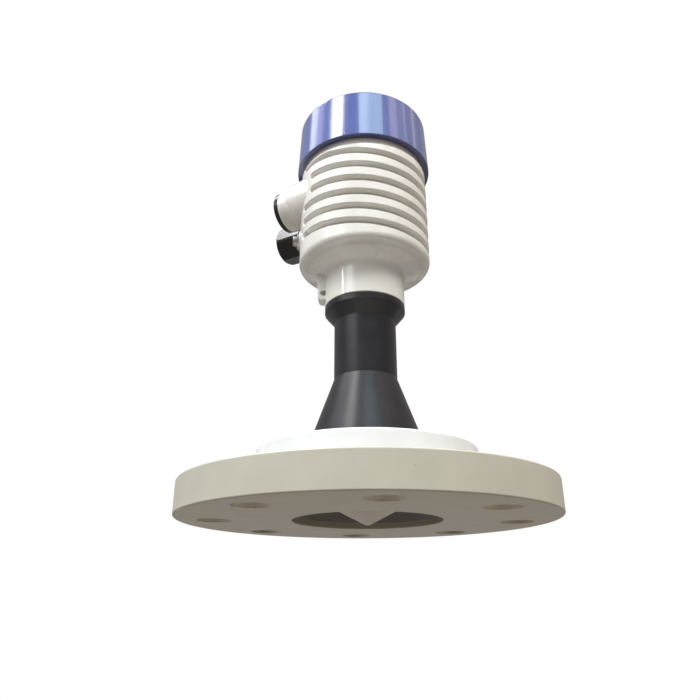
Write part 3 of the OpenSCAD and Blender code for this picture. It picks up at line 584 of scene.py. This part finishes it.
def paint(nodes, finish):
    """Gives CAD nodes a finish in all their material slots."""
    for name in nodes:
        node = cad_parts[name]
        if not node.data.materials:
            node.data.materials.append(finish)
        for index in range(len(node.data.materials)):
            node.data.materials[index] = finish


def top_centre(node):
    """The middle of the top of a node's box."""
    place = (low(node) + high(node)) / 2
    place.z = high(node).z
    return place


def add_bar(bm, place, right, up, width, height, turn=0.0):
    """A flat bar on the display, right and up of place, in the direction that it is read in."""
    made = bmesh.ops.create_cube(bm, size=1.0)["verts"]
    bmesh.ops.scale(bm, vec=(height, width, SIGN_THICKNESS), verts=made)
    bmesh.ops.rotate(bm, cent=(0, 0, 0), matrix=Matrix.Rotation(turn, 3, "Z"), verts=made)
    bmesh.ops.translate(bm, vec=place + Vector((up, -right, 0)), verts=made)


def add_digit(bm, place, right, up, digit, width, height, stroke):
    """A digit of seven segments, which stop short of each other at the corners."""
    half, side = height / 2, width / 2
    across, upright = width - stroke * 1.3, half - stroke * 1.3
    bars = {
        "a": (0, half, across, stroke),
        "g": (0, 0, across, stroke),
        "d": (0, -half, across, stroke),
        "f": (-side, half / 2, stroke, upright),
        "b": (side, half / 2, stroke, upright),
        "e": (-side, -half / 2, stroke, upright),
        "c": (side, -half / 2, stroke, upright),
    }
    for name in SEGMENTS[digit]:
        x, y, wide, tall = bars[name]
        add_bar(bm, place, right + x, up + y, wide, tall)


def thread_ridge(radius, rise, pitch, start, length):
    """A helical ridge round +Z: its section is spun up by the pitch in each turn. A rise
    below zero stands inwards, as in a nut."""
    bm = bmesh.new()
    half = pitch * 0.42
    root = radius - math.copysign(0.0003, rise)
    section = [bm.verts.new((root, 0, start - half)),
               bm.verts.new((radius + rise, 0, start - half * 0.15)),
               bm.verts.new((radius + rise, 0, start + half * 0.15)),
               bm.verts.new((root, 0, start + half))]
    face = bm.faces.new(section)
    turns = length / pitch
    bmesh.ops.spin(bm, geom=[face, *face.edges, *face.verts], cent=(0, 0, 0), axis=(0, 0, 1),
                   dvec=(0, 0, pitch / THREAD_STEPS), angle=math.tau * turns,
                   steps=round(THREAD_STEPS * turns), use_merge=False, use_duplicate=False)
    bmesh.ops.remove_doubles(bm, verts=bm.verts, dist=1e-7)
    return bm


# ------------------------------------------------------------------ operators


class TRANSMITTER_OT_finishes(Operator):
    """Give every part of the frame its finish"""

    bl_idname = "transmitter.finishes"
    bl_label = "Finish all parts"

    def execute(self, context):
        colours = context.scene.transmitter_colours
        steel = turned_steel().material
        plated = turned_steel("plated_steel", (0.42, 0.415, 0.40), 0.36).material
        seal = rubber().material
        dark = satin_plastic("module_plastic", (0.055, 0.06, 0.068), 0.45).material
        gland = satin_plastic("gland_plastic", (0.009, 0.009, 0.010), 0.30, ior=1.4).material
        keys = satin_plastic("key_rubber", (0.30, 0.32, 0.35), 0.5).material
        terminal = satin_plastic("terminal_plastic", (0.10, 0.26, 0.12), 0.42).material
        paint(["housing"], finish_housing(colours).material)
        paint(["cover"], finish_cover(colours).material)
        paint(["horn"], finish_horn(colours).material)
        paint(["flange"], finish_flange(colours).material)
        paint(["clamp_disc"], finish_fluoroplastic("disc_plastic", tuple(colours.disc)).material)
        paint(["lens"], finish_fluoroplastic("lens_plastic", tuple(colours.lens)).material)
        paint(["earth_clamp", "earth_screw"], plated)
        paint(["disc_screws", "radar_unit", "neck_circlip", "lock_screw", "can_screws",
               "terminal_screws", "window_ring"], steel)
        paint(["foot_seal", "lens_seal", "neck_seal", "plug_seal", "gland_washer",
               "gland_insert", "cover_seal", "window_gasket"], seal)
        paint(["blind_plug", "gland_body", "gland_nut"], gland)
        paint(["electronics_can", "display_carrier", "display"], dark)
        paint(["terminal_block"], terminal)
        paint(["key_minus", "key_plus", "key_enter"], keys)
        paint(["waveguide"], turned_brass().material)
        paint(["window"], window_glass().material)
        paint(["screen"], screen_glass().material)
        return {"FINISHED"}


class TRANSMITTER_OT_threads(Operator):
    """Cut the thread of the cover and the one on the housing"""

    bl_idname = "transmitter.threads"
    bl_label = "Cut threads"

    def execute(self, context):
        sizes = context.scene.transmitter_threads
        bare = bare_aluminium().material
        start = COVER_BASE + THREAD_START
        length = HOUSING_RIM - COVER_BASE - THREAD_LOSS
        ridge = thread_ridge(HOUSING_THREAD, sizes.ridge, sizes.cover_pitch, start, length)
        add_piece("cover_thread", ridge, "housing", bare)
        nut = thread_ridge(COVER_THREAD, -sizes.ridge / 2, sizes.cover_pitch, start + 0.0014,
                           length - 0.003)
        add_piece("cover_inner_thread", nut, "cover", bare)
        return {"FINISHED"}


class TRANSMITTER_OT_signs(Operator):
    """Mark the keys, the screen and the terminals"""

    bl_idname = "transmitter.signs"
    bl_label = "Mark keys and screen"

    def execute(self, context):
        sizes = context.scene.transmitter_signs
        ink = satin_plastic("sign_ink", (0.62, 0.63, 0.62), 0.5).material
        dots = satin_plastic("screen_dots", (0.022, 0.028, 0.022), 0.35).material
        self.mark_keys(sizes, ink)
        self.mark_screen(sizes, dots)
        self.mark_terminals(sizes, ink)
        return {"FINISHED"}

    def mark_keys(self, sizes, ink):
        """A minus, a plus and a bent arrow, each a few bars: right, up, width, height, turn."""
        long, stroke = sizes.key_sign, sizes.key_sign / 5
        head = long * 0.4
        tip, lean = -long / 2 + head * 0.3, math.radians(45)
        signs = {
            "key_minus": ((0, 0, long, stroke, 0),),
            "key_plus": ((0, 0, long, stroke, 0), (0, 0, stroke, long, 0)),
            "key_enter": ((0, -head / 2, long, stroke, 0),
                          (long / 2 - stroke / 2, head / 4, stroke, head * 1.5, 0),
                          (tip, -head * 0.25, head, stroke, -lean),
                          (tip, -head * 0.75, head, stroke, lean)),
        }
        for key, bars in signs.items():
            place = top_centre(key)
            bm = bmesh.new()
            for bar in bars:
                add_bar(bm, place, *bar)
            add_piece(key + "_sign", bm, key, ink)

    def mark_screen(self, sizes, dots):
        """The level with its point and its m, over a bar graph. All of it follows the digits."""
        place = top_centre("screen")
        tall = sizes.digit_height
        wide, stroke = tall * 0.52, tall * 0.11
        bm = bmesh.new()
        for index, digit in enumerate(LEVEL_DIGITS):
            add_digit(bm, place, tall * (index * 0.82 - 1.55), tall * 0.22, digit, wide, tall,
                      stroke)
        add_bar(bm, place, -tall * 1.14, -tall * 0.28, stroke, stroke)
        unit = tall * 0.16
        for index in (-1, 0, 1):
            add_bar(bm, place, tall * 1.6 + unit * index, -tall * 0.05, stroke * 0.7, tall * 0.42)
        add_bar(bm, place, tall * 1.6, tall * 0.16, unit * 2 + stroke * 0.7, stroke * 0.7)
        for index in range(GRAPH_BARS):
            bar_height = tall * (0.24 if index < GRAPH_FILLED else 0.06)
            add_bar(bm, place, tall * (index - (GRAPH_BARS - 1) / 2) * 0.26, -tall * 0.72,
                    tall * 0.18, bar_height)
        add_piece("screen_segments", bm, "housing", dots)

    def mark_terminals(self, sizes, ink):
        """A number in front of each terminal, from the right."""
        first, last = low("terminal_block"), high("terminal_block")
        tall = sizes.terminal_digit
        bm = bmesh.new()
        for index in range(TERMINALS):
            y = last.y - (last.y - first.y) * (index + 0.5) / TERMINALS
            place = Vector((first.x + tall * 0.9, y, last.z))
            add_digit(bm, place, 0, 0, str(index + 1), tall * 0.5, tall, tall * 0.14)
        add_piece("terminal_numbers", bm, "housing", ink)


class TRANSMITTER_OT_studio(Operator):
    """Build the floor, the lamps and the camera"""

    bl_idname = "transmitter.studio"
    bl_label = "Build studio"

    def execute(self, context):
        sizes = context.scene.transmitter_studio
        self.build_floor(sizes)
        self.build_room(context, sizes)
        self.build_camera(context, sizes)
        self.build_lamps(context, sizes)
        context.scene.view_settings.view_transform = "Standard"
        return {"FINISHED"}

    def build_floor(self, sizes):
        """A round sheet of pale paper. The camera sees it white, with the object's shadow."""
        bm = bmesh.new()
        bmesh.ops.create_circle(bm, cap_ends=True, segments=96, radius=6.0)
        bmesh.ops.translate(bm, vec=(0, 0, -sizes.floor_drop), verts=bm.verts)
        mesh = bpy.data.meshes.new("studio_floor")
        bm.to_mesh(mesh)
        bm.free()
        floor = bpy.data.objects.new("studio_floor", mesh)
        bpy.context.scene.collection.objects.link(floor)
        f = Finish("floor_paper")
        grain = f.noise(0.002, 3)
        f.set(Base_Color=f.mix(grain, (0.228, 0.190, 0.149), (0.254, 0.212, 0.167)), Roughness=0.9)
        r = f.radius()
        # wholly white far out, and in gloss a brighter ring that the flange's underside mirrors
        white = 0.93 + 0.07 * r.step(0.6, 1.8)
        bright_ring = r.step(1.5, 2.4) * r.step(4.4, 3.2)
        f.show_white(white, 0.24 * r.step(5, 4) + 0.52 * bright_ring)
        floor.data.materials.append(f.material)

    def build_room(self, context, sizes):
        """Even light all round, white for the camera and glass and warm in gloss."""
        world = bpy.data.worlds.new("studio_room")
        context.scene.world = world
        world.use_nodes = True
        tree = world.node_tree
        tree.nodes.clear()
        path = tree.nodes.new("ShaderNodeLightPath")
        output = tree.nodes.new("ShaderNodeOutputWorld")
        shown = self.background(tree, (0.97, 0.98, 1.0), sizes.room_light)
        for ray, colour, strength in (
            ("Is Glossy Ray", (1.0, 0.94, 0.86), sizes.room_gloss),
            ("Is Transmission Ray", (1, 1, 1), 1.0),
            ("Is Camera Ray", (1, 1, 1), 1.0),
        ):
            mixed = tree.nodes.new("ShaderNodeMixShader")
            tree.links.new(path.outputs[ray], mixed.inputs[0])
            tree.links.new(shown, mixed.inputs[1])
            tree.links.new(self.background(tree, colour, strength), mixed.inputs[2])
            shown = mixed.outputs[0]
        tree.links.new(shown, output.inputs[0])

    @staticmethod
    def background(tree, colour, strength):
        """One Background node of the room."""
        made = tree.nodes.new("ShaderNodeBackground")
        made.inputs["Color"].default_value = (*colour, 1)
        made.inputs["Strength"].default_value = strength
        return made.outputs[0]

    def build_camera(self, context, sizes):
        """The camera, which looks up at the object from below its flange."""
        data = bpy.data.cameras.new("camera")
        data.lens = sizes.lens
        data.sensor_width = 36
        data.clip_start, data.clip_end = 0.01, 50
        camera = bpy.data.objects.new("camera", data)
        context.scene.collection.objects.link(camera)
        forward = Vector((math.cos(sizes.heading) * math.cos(sizes.pitch),
                          math.sin(sizes.heading) * math.cos(sizes.pitch),
                          math.sin(sizes.pitch)))
        turn = forward.to_track_quat("-Z", "Y").to_matrix()
        lean = Matrix.Rotation(-sizes.roll, 3, "Z")
        camera.matrix_world = Matrix.Translation(sizes.camera_place) @ (turn @ lean).to_4x4()
        context.scene.camera = camera

    def build_lamps(self, context, sizes):
        """Soft boxes, all a metre from a point inside the housing."""
        centre = Vector((0, 0, 0.20))
        # name, azimuth, elevation, width, height, level, colour, whether gloss mirrors it
        for name, azimuth, up, width, tall, level, colour, mirrored in (
            ("window", 252.3, 47, 0.241, 0.28, 12.5, (1.0, 0.985, 0.96), True),
            ("window_edge", 240, 47, 0.060, 0.28, 5.5, (0.9, 0.97, 1.0), True),
            ("window_low", 256, 22, 0.35, 0.26, 3.5, (0.94, 0.97, 1.0), True),
            ("sky", 298.2, 47, 0.164, 0.28, 6.2, (0.72, 0.91, 1.0), True),
            ("sky_middle", 307.2, 47, 0.054, 0.28, 5.0, (0.68, 0.92, 1.0), True),
            ("sky_edge", 321.8, 47, 0.296, 0.28, 3.8, (0.66, 0.93, 1.0), True),
            ("wall_right", 355.4, 47, 0.19, 0.28, 1.7, (1.0, 0.80, 0.78), True),
            ("wall_shade", 10, 47, 0.12, 0.28, 0.45, (1.0, 0.75, 0.55), True),
            ("shelf_right", 19.8, 46, 0.07, 0.28, 1.3, (1.0, 0.88, 0.85), True),
            ("wall_far", 38, 46, 0.40, 0.28, 0.2, (1.0, 0.75, 0.5), True),
            ("far_right", 42.5, 45, 0.08, 0.28, 0.9, (1.0, 0.88, 0.85), True),
            ("far_left", 198.5, 46, 0.22, 0.28, 3.3, (0.95, 1.0, 1.0), True),
            ("left_blue", 215, 46, 0.17, 0.28, 1.8, (0.70, 0.65, 1.0), True),
            ("roof_light", 201, 59, 0.18, 0.15, 30.0, (0.99, 0.99, 1.0), True),
            ("doorway", 233, 28, 0.065, 0.24, 17.0, (1.0, 0.98, 0.95), True),
            ("window_high", 250, 61, 0.17, 0.14, 12.0, (0.85, 0.92, 1.0), True),
            ("fill_right", 345, 42, 0.8, 0.35, 9.4, (1.0, 0.935, 0.84), False),
            ("fill_left", 240, 42, 0.6, 0.35, 7.0, (0.985, 0.985, 1.0), False),
            ("fill_low", 300, 14, 0.9, 0.3, 1.0, (1.0, 0.96, 0.90), False),
            ("fill_back", 200, 38, 0.6, 0.5, 1.5, (0.97, 0.98, 1.0), False),
        ):
            data = bpy.data.lights.new(name, "AREA")
            data.shape = "RECTANGLE"
            data.size, data.size_y = width, tall
            data.energy = level * sizes.lamp_level * math.pi * width * tall
            data.color = colour
            lamp = bpy.data.objects.new(name, data)
            lamp.visible_glossy = mirrored
            context.scene.collection.objects.link(lamp)
            angle, rise = math.radians(azimuth), math.radians(up)
            out = Vector((math.cos(angle) * math.cos(rise), math.sin(angle) * math.cos(rise),
                          math.sin(rise)))
            lamp.matrix_world = (Matrix.Translation(centre + out)
                                 @ (-out).to_track_quat("-Z", "Y").to_matrix().to_4x4())


class TRANSMITTER_PT_panel(Panel):
    """Sizes, colours and steps of the transmitter's looks"""

    bl_idname = "TRANSMITTER_PT_panel"
    bl_label = "Transmitter"
    bl_space_type = "VIEW_3D"
    bl_region_type = "UI"
    bl_category = "Transmitter"

    def draw(self, context):
        for group in GROUPS:
            box = self.layout.box()
            owner = getattr(context.scene, group)
            for name in owner.bl_rna.properties.keys():
                if name not in ("rna_type", "name"):
                    box.prop(owner, name)
        for step in STEPS:
            self.layout.operator(step.bl_idname)


GROUPS = {
    "transmitter_colours": PaintColours,
    "transmitter_threads": ThreadSizes,
    "transmitter_signs": SignSizes,
    "transmitter_studio": StudioSizes,
}
STEPS = (TRANSMITTER_OT_studio, TRANSMITTER_OT_finishes, TRANSMITTER_OT_threads,
         TRANSMITTER_OT_signs)
CLASSES = (*GROUPS.values(), *STEPS, TRANSMITTER_PT_panel)


def register():
    """Adds the groups, operators and panel to Blender."""
    for cls in CLASSES:
        bpy.utils.register_class(cls)
    for name, group in GROUPS.items():
        setattr(bpy.types.Scene, name, PointerProperty(type=group))


def unregister():
    """Takes them away again."""
    for name in GROUPS:
        delattr(bpy.types.Scene, name)
    for cls in reversed(CLASSES):
        bpy.utils.unregister_class(cls)


def main():
    """Runs every step."""
    register()
    for step in STEPS:
        group, name = step.bl_idname.split(".")
        getattr(getattr(bpy.ops, group), name)()


if __name__ == "__main__":
    main()
